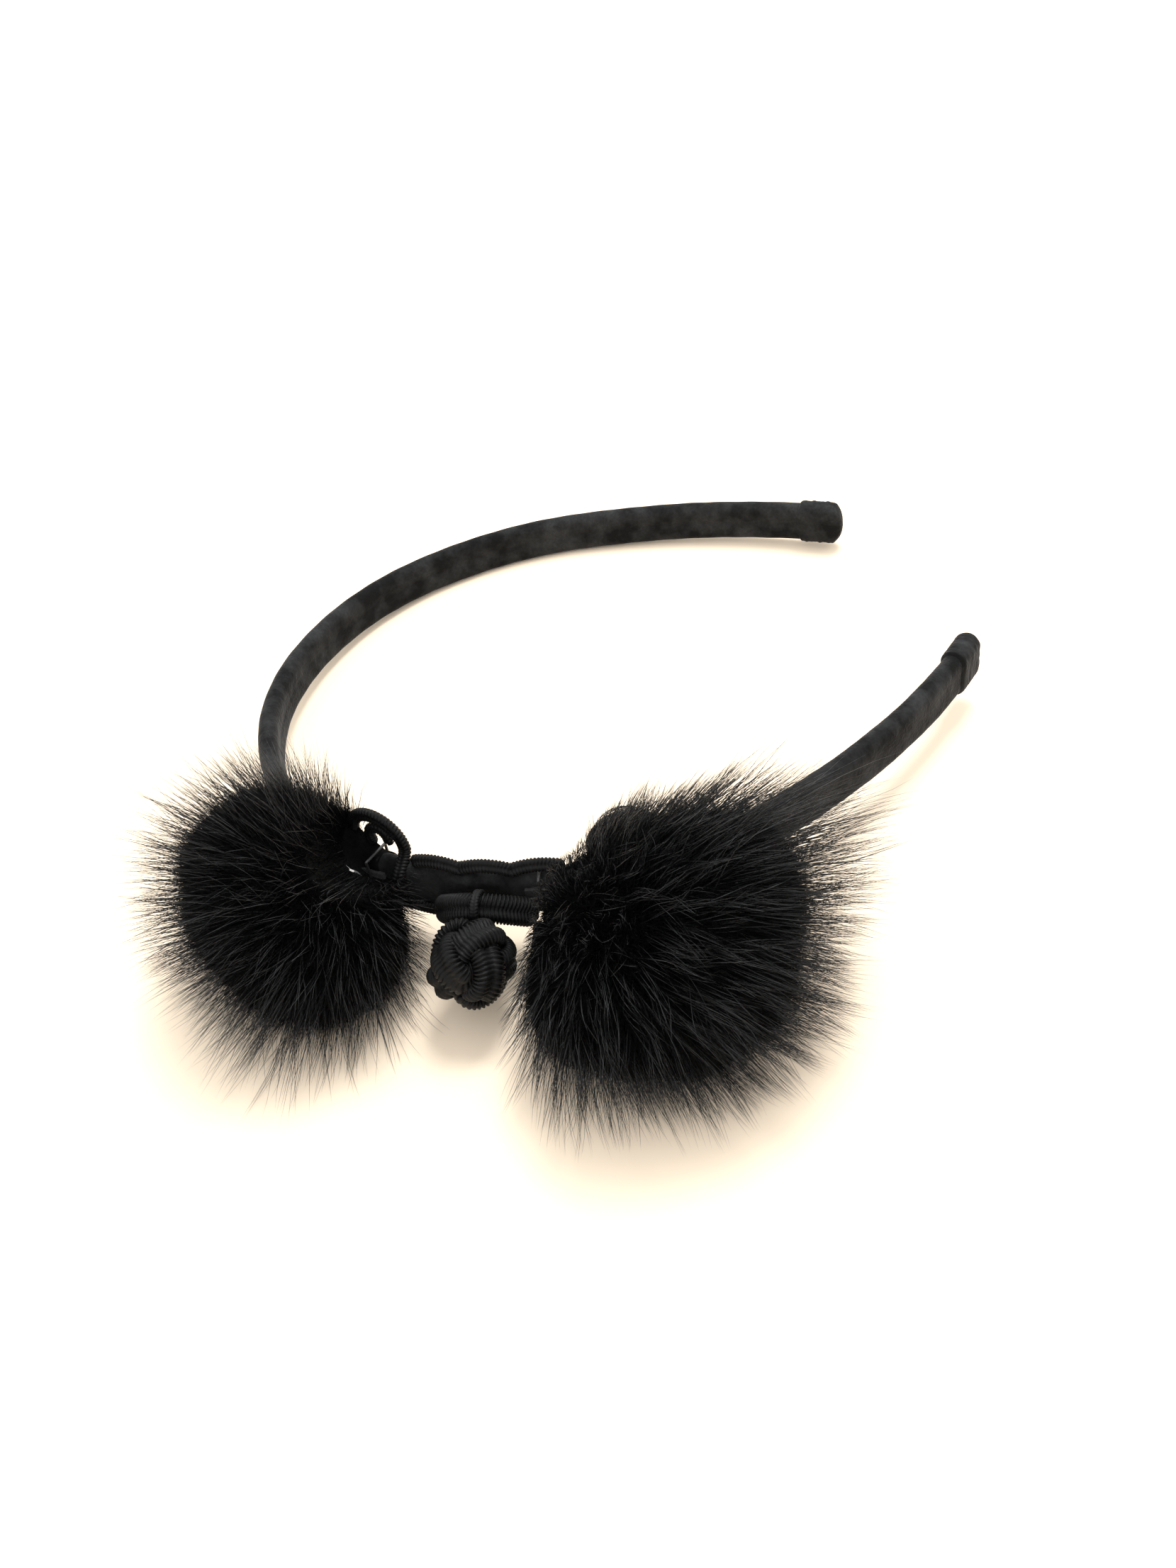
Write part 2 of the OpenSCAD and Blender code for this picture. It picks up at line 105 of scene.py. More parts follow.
# The two ear hinges are known both in the band's plane and in the row frame,
# which gives the turn and the shift from one to the other.
LEFT_EAR_ALONG, RIGHT_EAR_ALONG = 0.047, 0.088
hinges = {joint["name"]: joint for joint in frame["joints"]}
left_mouth = np.array(hinges["left_ear_swing"]["pos_m"])
right_mouth = np.array(hinges["right_ear_swing"]["pos_m"])
band_up = np.array(hinges["left_ear_swing"]["axis"])
band_up = band_up / np.linalg.norm(band_up)
left_flat = on_band_plane(LEFT_EAR_ALONG, 0.0050339, 0.0)[0]
right_flat = on_band_plane(RIGHT_EAR_ALONG, 0.0055624, 0.0)[0]
step_flat, step_row = right_flat - left_flat, right_mouth - left_mouth
band_x = step_flat[0] * step_row - step_flat[1] * np.cross(band_up, step_row)
band_x = band_x / np.linalg.norm(band_x)
band_axes = np.stack([band_x, np.cross(band_up, band_x), band_up])
band_apex = (left_mouth + right_mouth) / 2 - (left_flat + right_flat) / 2 @ band_axes


def band_place(along, out, up):
    """The same place in the row frame: turned with the band's axes and shifted to its apex."""
    return on_band_plane(along, out, up) @ band_axes + band_apex


class Wire:
    """A shader socket that takes part in sums; each operator adds one Math node."""

    def __init__(self, finish, socket):
        self.finish, self.socket = finish, socket

    def sum_with(self, operation, first, second):
        return self.finish.node("ShaderNodeMath", {"operation": operation}, {0: first, 1: second})

    def __add__(self, other):
        return self.sum_with("ADD", self, other)

    def __sub__(self, other):
        return self.sum_with("SUBTRACT", self, other)

    def __rsub__(self, other):
        return self.sum_with("SUBTRACT", other, self)

    def __mul__(self, other):
        return self.sum_with("MULTIPLY", self, other)

    def __pow__(self, other):
        return self.sum_with("POWER", self, other)

    __radd__, __rmul__ = __add__, __mul__


class Finish:
    """A material for one kind of surface; what is the same all over is set on the shader."""

    def __init__(self, name, **constants):
        self.material = bpy.data.materials.new(name)
        self.material.use_nodes = True
        self.tree = self.material.node_tree
        self.shader = self.tree.nodes["Principled BSDF"]
        for socket, value in constants.items():
            self.shader.inputs[socket.replace("_", " ")].default_value = value

    def node(self, kind, settings=None, inputs=None, output=0):
        """Adds a node: its settings first, then the values or wires of its sockets."""
        made = self.tree.nodes.new(kind)
        for name, value in (settings or {}).items():
            if name == "stops":
                ramp = made.color_ramp.elements
                while len(ramp) < len(value):
                    ramp.new(0.5)
                for stop, (place, colour) in zip(ramp, value):
                    stop.position, stop.color = place, colour
            else:
                setattr(made, name, value)
        for name, value in (inputs or {}).items():
            self.join(value, made.inputs[name])
        return Wire(self, made.outputs[output])

    def join(self, value, socket):
        if isinstance(value, Wire):
            self.tree.links.new(value.socket, socket)
        else:
            socket.default_value = value

    def feed(self, **sockets):
        for name, value in sockets.items():
            self.join(value, self.shader.inputs[name.replace("_", " ")])

    def here(self):
        return self.node("ShaderNodeTexCoord", output="Object")

    def noise(self, scale, detail=2.0, vector=None, roughness=0.5):
        return self.node(
            "ShaderNodeTexNoise",
            inputs={"Vector": vector or self.here(), "Scale": scale, "Detail": detail,
                    "Roughness": roughness},
        )

    def tint(self, first, second, share):
        """A colour between two, as far along as share says."""
        return self.node(
            "ShaderNodeMix", {"data_type": "RGBA", "clamp_factor": True},
            {0: share, 6: first, 7: second}, 2,
        )

    def relief(self, height, depth, strength=1.0):
        self.feed(Normal=self.node("ShaderNodeBump",
                                   inputs={"Height": height, "Distance": depth,
                                           "Strength": strength}))


def grey(value, warmth=0.0):
    return (value * (1 + warmth), value, value * (1 - warmth), 1.0)


table_paint = Finish("table_paint", Roughness=0.75, Specular_IOR_Level=0.1)
table_paint.feed(Base_Color=table_paint.tint((0.92, 0.77, 0.60, 1.0), (0.94, 0.80, 0.63, 1.0),
                                             table_paint.noise(6.0)))

TABLE_HALF = 3.0
table_mesh = bpy.data.meshes.new("table_top")
table_corners = TABLE_HALF * np.array([(-1, -1, 0), (1, -1, 0), (1, 1, 0), (-1, 1, 0)])
table_mesh.from_pydata(table_corners.tolist(), [], [(0, 1, 2, 3)])
table_mesh.materials.append(table_paint.material)
table_top = bpy.data.objects.new("table_top", table_mesh)
bpy.context.scene.collection.objects.link(table_top)

WALL_LIGHT = 1.5
walls = bpy.data.worlds.new("white_walls")
walls.use_nodes = True
walls.node_tree.nodes["Background"].inputs["Color"].default_value = (1.0, 1.0, 1.0, 1.0)
walls.node_tree.nodes["Background"].inputs["Strength"].default_value = WALL_LIGHT
bpy.context.scene.world = walls
bpy.context.scene.view_settings.view_transform = "Standard"


def soft_lamp(name, place, aim, size, power):
    """A square lamp whose back axis points from its aim to its place."""
    lamp = bpy.data.lights.new(name, "AREA")
    lamp.size, lamp.energy = size, power
    back = np.array(place) - np.array(aim)
    back = back / np.linalg.norm(back)
    side = np.cross([0.0, 0.0, 1.0], back)
    side = side / np.linalg.norm(side)
    turn = np.stack([side, np.cross(back, side), back], 1)
    stand = bpy.data.objects.new(name, lamp)
    stand.matrix_world = Matrix.Translation(place) @ Matrix(turn.tolist()).to_4x4()
    bpy.context.scene.collection.objects.link(stand)


soft_lamp("window_lamp", (-0.20, 0.24, 0.88), (0.0, 0.0, 0.0), 0.30, 6.0)

CAMERA_PLACE = np.array([0.253044, 0.022937, 0.177772])
CAMERA_RIGHT = np.array([0.295043, 0.945052, -0.140810])
CAMERA_UP = np.array([-0.576494, 0.293595, 0.762533])
CAMERA_BACK = np.array([0.761974, -0.143804, 0.631440])
camera_data = bpy.data.cameras.new("table_camera")
camera_data.lens, camera_data.sensor_width = 30.55, 36.0
camera_data.clip_start = 0.01
camera = bpy.data.objects.new("table_camera", camera_data)
camera_turn = (np.stack([CAMERA_RIGHT, CAMERA_UP, CAMERA_BACK]) @ band_axes).T
camera.matrix_world = (
    Matrix.Translation((CAMERA_PLACE @ band_axes + band_apex).tolist())
    @ Matrix(camera_turn.tolist()).to_4x4()
)
bpy.context.scene.collection.objects.link(camera)
bpy.context.scene.camera = camera

# ---------------------------------------------------------------------------
# The sprung core.
# A flat strip moulded in black plastic, bent to the head. It is bought in and
# pushed into the velvet, so it only shows in a cut.
# ---------------------------------------------------------------------------

strip_plastic = Finish("strip_plastic", IOR=1.5)
flow = strip_plastic.noise(90.0, 3.0)
strip_plastic.feed(
    Base_Color=strip_plastic.tint(grey(0.012), grey(0.022), flow),
    Roughness=0.32 + 0.16 * flow,
)
strip_plastic.relief(strip_plastic.noise(2200.0), 0.00003)


def finish_node(node, finish):
    """Puts a finish on a carried-over CAD node."""
    piece = frame["nodes"][node]
    piece.data.materials.clear()
    piece.data.materials.append(finish.material)


finish_node("band_core", strip_plastic)

# ---------------------------------------------------------------------------
# The velvet sleeve.
# A narrow tube of black velvet, its seam on the head side, drawn over the
# strip. Charcoal blotches in its colour are painted sheen, where the pile catches light.
# ---------------------------------------------------------------------------

SLEEVE_HALF, SLEEVE_FLAT = 0.0023, 0.0028
SLEEVE_RINGS, SLEEVE_SIDES = 1500, 40


def unit(v):
    return v / np.maximum(np.linalg.norm(v, axis=-1, keepdims=True), 1e-12)


def ring_quads(rings, sides):
    """Quads between neighbouring rings: ring i, side j is vertex i * sides + j, and j wraps."""
    i, j = np.meshgrid(np.arange(rings - 1), np.arange(sides), indexing="ij")
    k = (j + 1) % sides
    corners = [i * sides + j, (i + 1) * sides + j, (i + 1) * sides + k, i * sides + k]
    return np.stack([c.ravel() for c in corners], -1)


def end_fans(rings, sides):
    """Triangles that close the first and last ring to the two pole vertices after them."""
    j = np.arange(sides)
    k = (j + 1) % sides
    pole, last = rings * sides, (rings - 1) * sides
    first = np.stack([np.full(sides, pole), j, k], -1)
    end = np.stack([np.full(sides, pole + 1), last + k, last + j], -1)
    return np.concatenate([first, end])


def add_piece(name, points, quads, triangles, finish, body, replaced=(), maps=None,
              joint=None):
    """Puts vertices, quads and triangles in a mesh, and hangs it on a body; with a joint
    given, it only bakes the piece's place into its points and hangs it on nothing.

    The volume under the faces is a sixth of the sum of their corner products; where it
    comes out negative, all the faces are turned round, so that they point outwards.
    """
    halves = [quads[:, [0, 1, 2]], quads[:, [0, 2, 3]], triangles]
    a, b, c = points[np.concatenate(halves)].transpose(1, 0, 2)
    inside_out = np.einsum("ij,ij->i", a, np.cross(b, c)).sum() < 0
    order = -1 if inside_out else 1
    loops = np.concatenate([quads[:, ::order].ravel(), triangles[:, ::order].ravel()])
    sizes = np.concatenate([np.full(len(quads), 4), np.full(len(triangles), 3)])
    mesh = bpy.data.meshes.new(name)
    mesh.vertices.add(len(points))
    mesh.vertices.foreach_set("co", points.astype(np.float32).ravel())
    mesh.loops.add(len(loops))
    mesh.loops.foreach_set("vertex_index", loops.astype(np.int32))
    mesh.polygons.add(len(sizes))
    starts = np.concatenate([[0], np.cumsum(sizes)[:-1]])
    mesh.polygons.foreach_set("loop_start", starts.astype(np.int32))
    mesh.polygons.foreach_set("use_smooth", np.ones(len(sizes), bool))
    for map_name, (quad_map, triangle_map) in (maps or {}).items():
        layer = mesh.uv_layers.new(name=map_name)
        values = np.concatenate([quad_map[:, ::order].reshape(-1, 2),
                                 triangle_map[:, ::order].reshape(-1, 2)])
        layer.data.foreach_set("uv", values.astype(np.float32).ravel())
    mesh.update(calc_edges=True)
    mesh.validate()
    mesh.materials.append(finish.material)
    piece = bpy.data.objects.new(name, mesh)
    bpy.context.scene.collection.objects.link(piece)
    if joint:
        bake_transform(piece)
    else:
        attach(piece, body)
    if replaced:
        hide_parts(*replaced)
    return piece


def add_tube(name, rings, finish, body, replaced=(), maps=None):
    """A closed skin over rings of points, each end drawn together at its ring's middle."""
    count, sides = rings.shape[:2]
    points = np.concatenate([rings.reshape(-1, 3), rings[:1].mean(1), rings[-1:].mean(1)])
    return add_piece(name, points, ring_quads(count, sides), end_fans(count, sides), finish,
                     body, replaced, maps)


def strip_section(half, flat, sides):
    """A flat strip with round edges: a circle of angle t whose upper half is moved up by the
    flat half width and whose lower half is moved down, spread evenly by edge length."""
    t = np.linspace(0, 2 * np.pi, 2000, endpoint=False)
    out = half * np.cos(t)
    up = half * np.sin(t) + flat * np.tanh(40 * np.sin(t))
    gone = np.concatenate([[0], np.cumsum(np.hypot(np.diff(out), np.diff(up)))])
    even = np.linspace(0, gone[-1], sides, endpoint=False)
    return np.interp(even, gone, out), np.interp(even, gone, up)


def waves(along, turn, lengths, heights, seed):
    """Soft unevenness: a sum of sines of place and angle, each with its own length."""
    phases = np.random.default_rng(seed).uniform(0, 2 * np.pi, (len(lengths), 2))
    total = np.zeros(np.broadcast(along, turn).shape)
    for k, (length, height) in enumerate(zip(lengths, heights)):
        total = total + height * np.sin(2 * np.pi * along / length + phases[k, 0]) * np.cos(
            (k % 3 + 1) * turn + phases[k, 1])
    return total


velvet = Finish("velvet", IOR=1.45, Specular_IOR_Level=0.06, Sheen_Weight=0.16,
                Sheen_Roughness=0.35, Sheen_Tint=(0.55, 0.57, 0.62, 1.0))
# painted sheen: charcoal blotches in the base colour stand in for where the pile catches the light
sheen_blotch_noise = velvet.noise(150.0, 4.0, roughness=0.6)
nap = velvet.noise(1500.0, 3.0)
painted_sheen_patches = velvet.node("ShaderNodeValToRGB", {"stops": [(0.38, grey(0.0)), (0.68, grey(1.0))]},
                      {"Fac": sheen_blotch_noise})
# the colour is near black, lifted to charcoal in the painted sheen blotches and varied by the fine
# nap
velvet.feed(
    Base_Color=velvet.tint(grey(0.006), grey(0.030, -0.02),
                           velvet.node("ShaderNodeSeparateColor", inputs={"Color": painted_sheen_patches})
                           * (0.35 + 1.1 * nap)),
    Roughness=0.62 + 0.25 * nap,
)
velvet.relief(nap * 0.6 + velvet.noise(520.0, 2.0) * 0.8, 0.00035, 0.8)

section_out, section_up = strip_section(SLEEVE_HALF, SLEEVE_FLAT, SLEEVE_SIDES)
section_turn = np.arctan2(section_up, section_out)
sleeve_along = np.linspace(-HALF_LENGTH + 0.0012, HALF_LENGTH - 0.0012, SLEEVE_RINGS)[:, None]
sleeve_swell = 1 + waves(sleeve_along, section_turn, (0.047, 0.021, 0.0083, 0.0037),
                         (0.012, 0.012, 0.009, 0.006), 5)
seam = np.exp(-((section_up - 0.0004) / 0.00035) ** 2) * (section_out < 0)
sleeve_swell = sleeve_swell - 0.10 * seam[None, :]
sleeve_rings = band_place(sleeve_along + 0 * section_out, section_out * sleeve_swell,
                          section_up * (1 + 0.6 * (sleeve_swell - 1)))
add_tube("velvet_sleeve_cloth", sleeve_rings, velvet, "headband",
         ("velvet_sleeve",))

# ---------------------------------------------------------------------------
# The velvet ends.
# At each end the tube is cut long, folded back over the tip and glued down,
# which leaves a fuller, creased cap.
# ---------------------------------------------------------------------------

WRAP_LENGTH, WRAP_RINGS, WRAP_SIDES = 0.0086, 90, 72
WRAP_TIP = 0.003
wrap_out, wrap_up = strip_section(1.0, SLEEVE_FLAT / 0.0029, WRAP_SIDES)
wrap_turn = np.arctan2(wrap_up, wrap_out)
travel = np.linspace(0, 1, WRAP_RINGS)[:, None]
wrap_along = HALF_LENGTH - WRAP_LENGTH + (WRAP_LENGTH + WRAP_TIP) * travel
to_tip = np.clip((wrap_along - HALF_LENGTH) / WRAP_TIP, 0, 0.999)
lip = np.clip((wrap_along - HALF_LENGTH + WRAP_LENGTH) / 0.0011, 0, 1)
profile = np.sqrt(1 - to_tip**2) * (0.79 + 0.21 * np.sin(lip * np.pi / 2))
for side, node in ((-1, "left_end_wrap"), (1, "right_end_wrap")):
    creases = waves(wrap_along, wrap_turn, (0.0031, 0.0019, 0.0043, 0.0012),
                    (0.012, 0.010, 0.012, 0.006), 11 + side)
    folds = 0.04 * np.sin(9 * wrap_turn + 500 * wrap_along) * to_tip
    girth = 0.0029 * profile * (1 + creases + folds)
    wrap_rings = band_place(side * (wrap_along + 0 * wrap_out), wrap_out * girth,
                            wrap_up * girth)
    add_tube(node + "_cloth", wrap_rings, velvet, "headband", (node,))

# ---------------------------------------------------------------------------
# Felt pads and stitches under the ears.
# A small black felt patch lies under each ear's gathered mouth, and two loops
# of waxed black thread bind ear, patch and band together.
# ---------------------------------------------------------------------------

felt = Finish("felt", IOR=1.45, Specular_IOR_Level=0.1, Sheen_Weight=0.2)
matting = felt.noise(900.0, 5.0, roughness=0.7)
felt.feed(Base_Color=felt.tint(grey(0.006), grey(0.022), matting),
          Roughness=0.75 + 0.2 * matting)
felt.relief(matting, 0.0003)

waxed_thread = Finish("waxed_thread", IOR=1.5)
plies = waxed_thread.noise(3800.0, 2.0)
waxed_thread.feed(Base_Color=waxed_thread.tint(grey(0.008), grey(0.03), plies),
                  Roughness=0.35 + 0.25 * plies)
waxed_thread.relief(plies, 0.0001)

filling = Finish("filling", IOR=1.45, Sheen_Weight=0.3)
tufts = filling.noise(260.0, 5.0, roughness=0.7)
filling.feed(Base_Color=filling.tint(grey(0.62, 0.03), grey(0.85, 0.02), tufts),
             Roughness=0.7 + 0.25 * tufts)
filling.relief(tufts, 0.0008)

for ear in ("left_ear", "right_ear"):
    finish_node(ear + "_pad", felt)
    finish_node(ear + "_stitches", waxed_thread)
    finish_node(ear + "_drawstring", waxed_thread)

# ---------------------------------------------------------------------------
# The frog: scalloped upper braid, lower braid, curls and loose end.
# Flat black braid of two cords side by side, whipped with shiny thread in
# fine slanting ribs, couched down on the velvet by hand.
# ---------------------------------------------------------------------------

FROG_ALONG = 0.0745
BRAID_SIDES = 28

gimp = Finish("gimp", IOR=1.5, Specular_IOR_Level=0.1)
threads = gimp.node("ShaderNodeMapping", {"vector_type": "POINT"},
                    {"Vector": gimp.node("ShaderNodeUVMap", {"uv_map": "thread"}),
                     "Rotation": (0.0, 0.0, 0.6), "Scale": (9000.0, 1500.0, 1.0)})
filaments = gimp.noise(1.0, 2.0, threads)
wear = gimp.noise(420.0, 2.0)
gimp.feed(Base_Color=gimp.tint(grey(0.002), grey(0.012), filaments * wear * 2.0),
          Roughness=0.26 + 0.3 * filaments)
gimp.relief(filaments, 0.00006)


def even_steps(path, step):
    """The same line with points an even step apart, by its length gone at each point."""
    gone = np.concatenate([[0], np.cumsum(np.linalg.norm(np.diff(path, axis=0), axis=1))])
    even = np.linspace(0, gone[-1], max(8, int(gone[-1] / step)))
    return np.stack([np.interp(even, gone, path[:, k]) for k in range(3)], 1), even


def braid_rings(path, face, half_width, half_thick, rib=0.00055, depth=0.10, groove=0.38,
                slant=1.3, taper=0.0012, step=0.00009, closed=False):
    """Rings of a flat two-cord braid laid along a path, its flat side turned to face.

    A ring's point at angle t is cos t times the half width to the side and sin t times the
    half thickness along the face, pinched in the middle by a bell-shaped groove. Ribs swell
    it by a sine of the length gone, slanted by the distance from the middle.
    """
    path, gone = even_steps(path, step)
    ahead = unit(np.gradient(path, axis=0))
    face = face(path) if callable(face) else np.broadcast_to(face, path.shape)
    side = unit(np.cross(ahead, face))
    face = np.cross(side, ahead)
    t = np.linspace(0, 2 * np.pi, BRAID_SIDES, endpoint=False)[None, :]
    across, lift = np.cos(t), np.sin(t)
    lift = lift * (1 - groove * np.exp(-((across / 0.28) ** 2)))
    phase = 2 * np.pi * gone[:, None] / rib - slant * np.pi * np.abs(across)
    swell = 1 + depth * (np.abs(np.sin(phase / 2)) - 0.6)
    ends = np.minimum(gone, gone[-1] - gone)[:, None] / taper
    shrink = 1.0 if closed else np.sqrt(np.clip(1 - (1 - np.clip(ends, 0, 1)) ** 2, 0.02, 1))
    x = half_width * across * swell * shrink
    y = half_thick * lift * swell * shrink
    rings = path[:, None] + x[..., None] * side[:, None] + y[..., None] * face[:, None]
    return rings, gone, t[0] * half_width


def thread_map(gone, around):
    """A map of length gone along a cord by distance round it, for its quads and end fans."""
    count, sides = len(gone), len(around)
    i, j = np.meshgrid(np.arange(count - 1), np.arange(sides), indexing="ij")
    girth = around[1] * sides
    u = np.stack([gone[i], gone[i + 1], gone[i + 1], gone[i]], -1)
    v = np.stack([j, j, j + 1, j + 1], -1) * girth / sides
    quad_map = np.stack([u, v], -1).reshape(-1, 4, 2)
    fan = np.zeros((2 * sides, 3, 2))
    fan[sides:, :, 0] = gone[-1]
    fan[:, :, 1] = np.tile(np.arange(sides)[:, None] + np.array([0.5, 0.0, 1.0]), (2, 1)) * (
        girth / sides)
    fan[:, 0, 0] += np.repeat([-0.0002, 0.0002], sides)
    return quad_map, fan


def add_braid(name, path, face, half_width, half_thick, replaced=(), slot="black_gimp",
              body="headband", **looks):
    rings, gone, around = braid_rings(path, face, half_width, half_thick, **looks)
    add_tube(name, rings, gimp, body, replaced, {"thread": thread_map(gone, around)})


def facing(along, out_share, up_share):
    """A direction square to the band at a place along it, between outward and up."""
    foot = band_place(along, 0.0, 0.0)
    away = band_place(along, 0.01, 0.0) - foot
    return unit(out_share * unit(away) + up_share * band_up)


def share(count):
    return np.linspace(0, 1, count)


# the upper braid stands on the strip's upper edge in three scallops
run = share(400)
scallop_along = FROG_ALONG + (2 * run - 1) * 0.0155
scallops = band_place(scallop_along, 0.0007,
                      0.00605 + 0.0011 * np.abs(np.sin(3 * np.pi * run)) ** 0.8)
add_braid("frog_scalloped_braid", scallops, facing(FROG_ALONG, 0.8, 0.5), 0.00135, 0.0008,
          ("frog_upper_braid",), rib=0.00068, depth=0.2)

# the lower braid runs along the strip's lower edge and under the left ear
lower_along = FROG_ALONG + np.linspace(-0.017, 0.009, 200)
add_braid("frog_lower_braid_cord", band_place(lower_along, 0.00245, -0.0047),
          facing(lower_along.mean(), 0.8, -0.3), 0.0011, 0.0006, ("frog_lower_braid",),
          rib=0.0007, depth=0.2)
left_run = FROG_ALONG + np.linspace(-0.0215, -0.0085, 120)
add_braid("frog_lower_braid_fold",
          band_place(left_run, 0.0031 + 0.0006 * share(120), -0.0030 - 0.0002 * share(120)),
          facing(left_run.mean(), 1.0, 0.25), 0.0012, 0.0006, rib=0.0007, depth=0.2)

# open curls of the same braid stand on the upper edge beside each ear


def curl_path(middle, radius, start, end, out, up, count=400):
    """An arc that stands on the band: cosine along it and sine up from its middle."""
    a = np.radians(np.linspace(start, end, count))
    return band_place(middle + radius * np.cos(a), out, up + radius * np.sin(a))


def curl_foot(middle, radius, out, up, drop, front, count=150):
    """The cord's way down from an arc's end: straight down, eased out to the band's face."""
    down = share(count)
    ease = down * down * (3 - 2 * down)
    return band_place(middle + radius, out + (front - out) * ease, up - drop * down)


CURL_OUT, CURL_UP, CURL_RADIUS = -0.0012, 0.00745, 0.0066
LEFT_CURL, RIGHT_CURL = FROG_ALONG - 0.0245, FROG_ALONG + 0.028
for name, middle, node in (("frog_left_curl_braid", LEFT_CURL, "frog_left_curl"),
                           ("frog_right_curl_braid", RIGHT_CURL, "frog_right_curl")):
    foot = curl_foot(middle, CURL_RADIUS, CURL_OUT, CURL_UP, 0.0058, 0.0035)
    arc_part = curl_path(middle, CURL_RADIUS, 0, 188, CURL_OUT, CURL_UP)
    add_braid(name, np.concatenate([foot[::-1], arc_part[1:]]), facing(middle, 0.9, 0.1),
              0.00135, 0.00105, (node,), rib=0.00068, depth=0.18)
add_braid("frog_inner_curl_braid",
          curl_path(LEFT_CURL + 0.0006, 0.0024, -30, 240, CURL_OUT, CURL_UP + 0.0012),
          facing(LEFT_CURL, 0.9, 0.1), 0.0011, 0.00095, ("frog_inner_curl",), rib=0.00068,
          depth=0.18)

# the loop's loose end, cut short and frayed
TAIL_ALONG = FROG_ALONG + 0.009
tail_run = share(80)
tail_path = band_place(TAIL_ALONG, 0.00345 + 0.0072 * tail_run,
                       -0.0052 - 0.0006 * tail_run - 0.0004 * np.sin(3 * tail_run))
add_braid("frog_cord_tail_braid", tail_path, facing(TAIL_ALONG, 0.0, 1.0), 0.0011, 0.0006,
          ("frog_cord_tail",), slot="black_cord", rib=0.0006, depth=0.16)

# ---------------------------------------------------------------------------
# The button and its loop.
# A thick flat braid bows out from the band as a loop. A ball knot, plaited
# from the same braid in three leads and four bights, hangs on it by a ring.
# ---------------------------------------------------------------------------

LOOP_HALF, LOOP_REST, LOOP_LIFT, LOOP_DROP = 0.0095, 0.00445, 0.0064, -0.002
loop_run = np.linspace(-1, 1, 300)
LOOP_BULGE, LOOP_ARCH = 0.0015, 0.0050
loop_bow = np.cos(np.pi / 2 * loop_run)
loop_path = band_place(FROG_ALONG + loop_run * LOOP_HALF,
                       LOOP_REST + (LOOP_LIFT + LOOP_BULGE - LOOP_REST) * loop_bow,
                       LOOP_DROP + LOOP_ARCH * loop_bow)
add_braid("button_loop_braid", loop_path, facing(FROG_ALONG, 0.75, 0.65), 0.0027, 0.0018,
          ("frog_loop_cord",), slot="black_cord", rib=0.0007, depth=0.22, groove=0.42,
          taper=0.0022)

button_middle = band_place(FROG_ALONG, 0.0172, LOOP_DROP)[0]
RING_RADIUS = 0.0031
ring_turn = np.linspace(0, 2 * np.pi, 240)
ring_out = unit(band_place(FROG_ALONG, 0.01, 0.0) - band_place(FROG_ALONG, 0.0, 0.0))[0]
ring_middle = band_place(FROG_ALONG, LOOP_LIFT + LOOP_BULGE, LOOP_DROP + LOOP_ARCH)[0]
ring_path = ring_middle + RING_RADIUS * (np.cos(ring_turn)[:, None] * ring_out
                                         + np.sin(ring_turn)[:, None] * band_up)
add_braid("button_shank_ring", ring_path, lambda p: unit(p - ring_middle), 0.0009, 0.0006,
          ("button_shank",), slot="black_cord", body="button", rib=0.0006, depth=0.15)

LEADS, BIGHTS = 3, 4
KNOT_MIDDLE_RADIUS, KNOT_WEAVE, KNOT_LATITUDE = 0.0060, 0.00125, 1.02
knot_turn = np.linspace(0, 2 * np.pi * LEADS, 3000)
knot_phase = BIGHTS * knot_turn / LEADS
knot_latitude = KNOT_LATITUDE * np.sin(knot_phase)
knot_radius = KNOT_MIDDLE_RADIUS + KNOT_WEAVE * np.sin((LEADS - 1) * knot_phase)
knot_shape = knot_radius[:, None] * np.stack(
    [np.cos(knot_latitude) * np.cos(knot_turn), np.cos(knot_latitude) * np.sin(knot_turn),
     np.sin(knot_latitude)], 1)
view_back = CAMERA_BACK @ band_axes
view_right = CAMERA_RIGHT @ band_axes
view_up = CAMERA_UP @ band_axes
KNOT_ROLL, KNOT_SPIN, KNOT_NOD = math.radians(-20), math.radians(-24), math.radians(-32)


def turned(points, axis, angle):
    """Points turned about an axis: the part along it stays, the rest moves round a circle."""
    along = (points @ axis)[:, None] * axis
    flat = points - along
    return along + flat * math.cos(angle) + np.cross(axis, flat) * math.sin(angle)


pole_up = np.stack([view_back, np.cross(view_up, view_back), view_up])
knot_path = turned(knot_shape, np.array([0.0, 0.0, 1.0]), KNOT_SPIN) @ pole_up
knot_path = turned(knot_path, view_right, KNOT_NOD)
knot_path = turned(knot_path, view_back, KNOT_ROLL) + button_middle
add_braid("button_knot_braid", knot_path, lambda p: unit(p - button_middle), 0.0030, 0.0017,
          ("button_knot",), slot="black_cord", body="button", rib=0.00075, depth=0.24,
          groove=0.40, closed=True)

# ---------------------------------------------------------------------------
# The two fur ears.
# Each is a ball cut from long-haired black fur, gathered on a drawstring and
# stuffed. Dense woolly underfur hides the skin; stiff glossy guard hairs
# stand out beyond it. They all lean away from the gathered mouth.
# ---------------------------------------------------------------------------

FLOOR_GAP = 0.0003


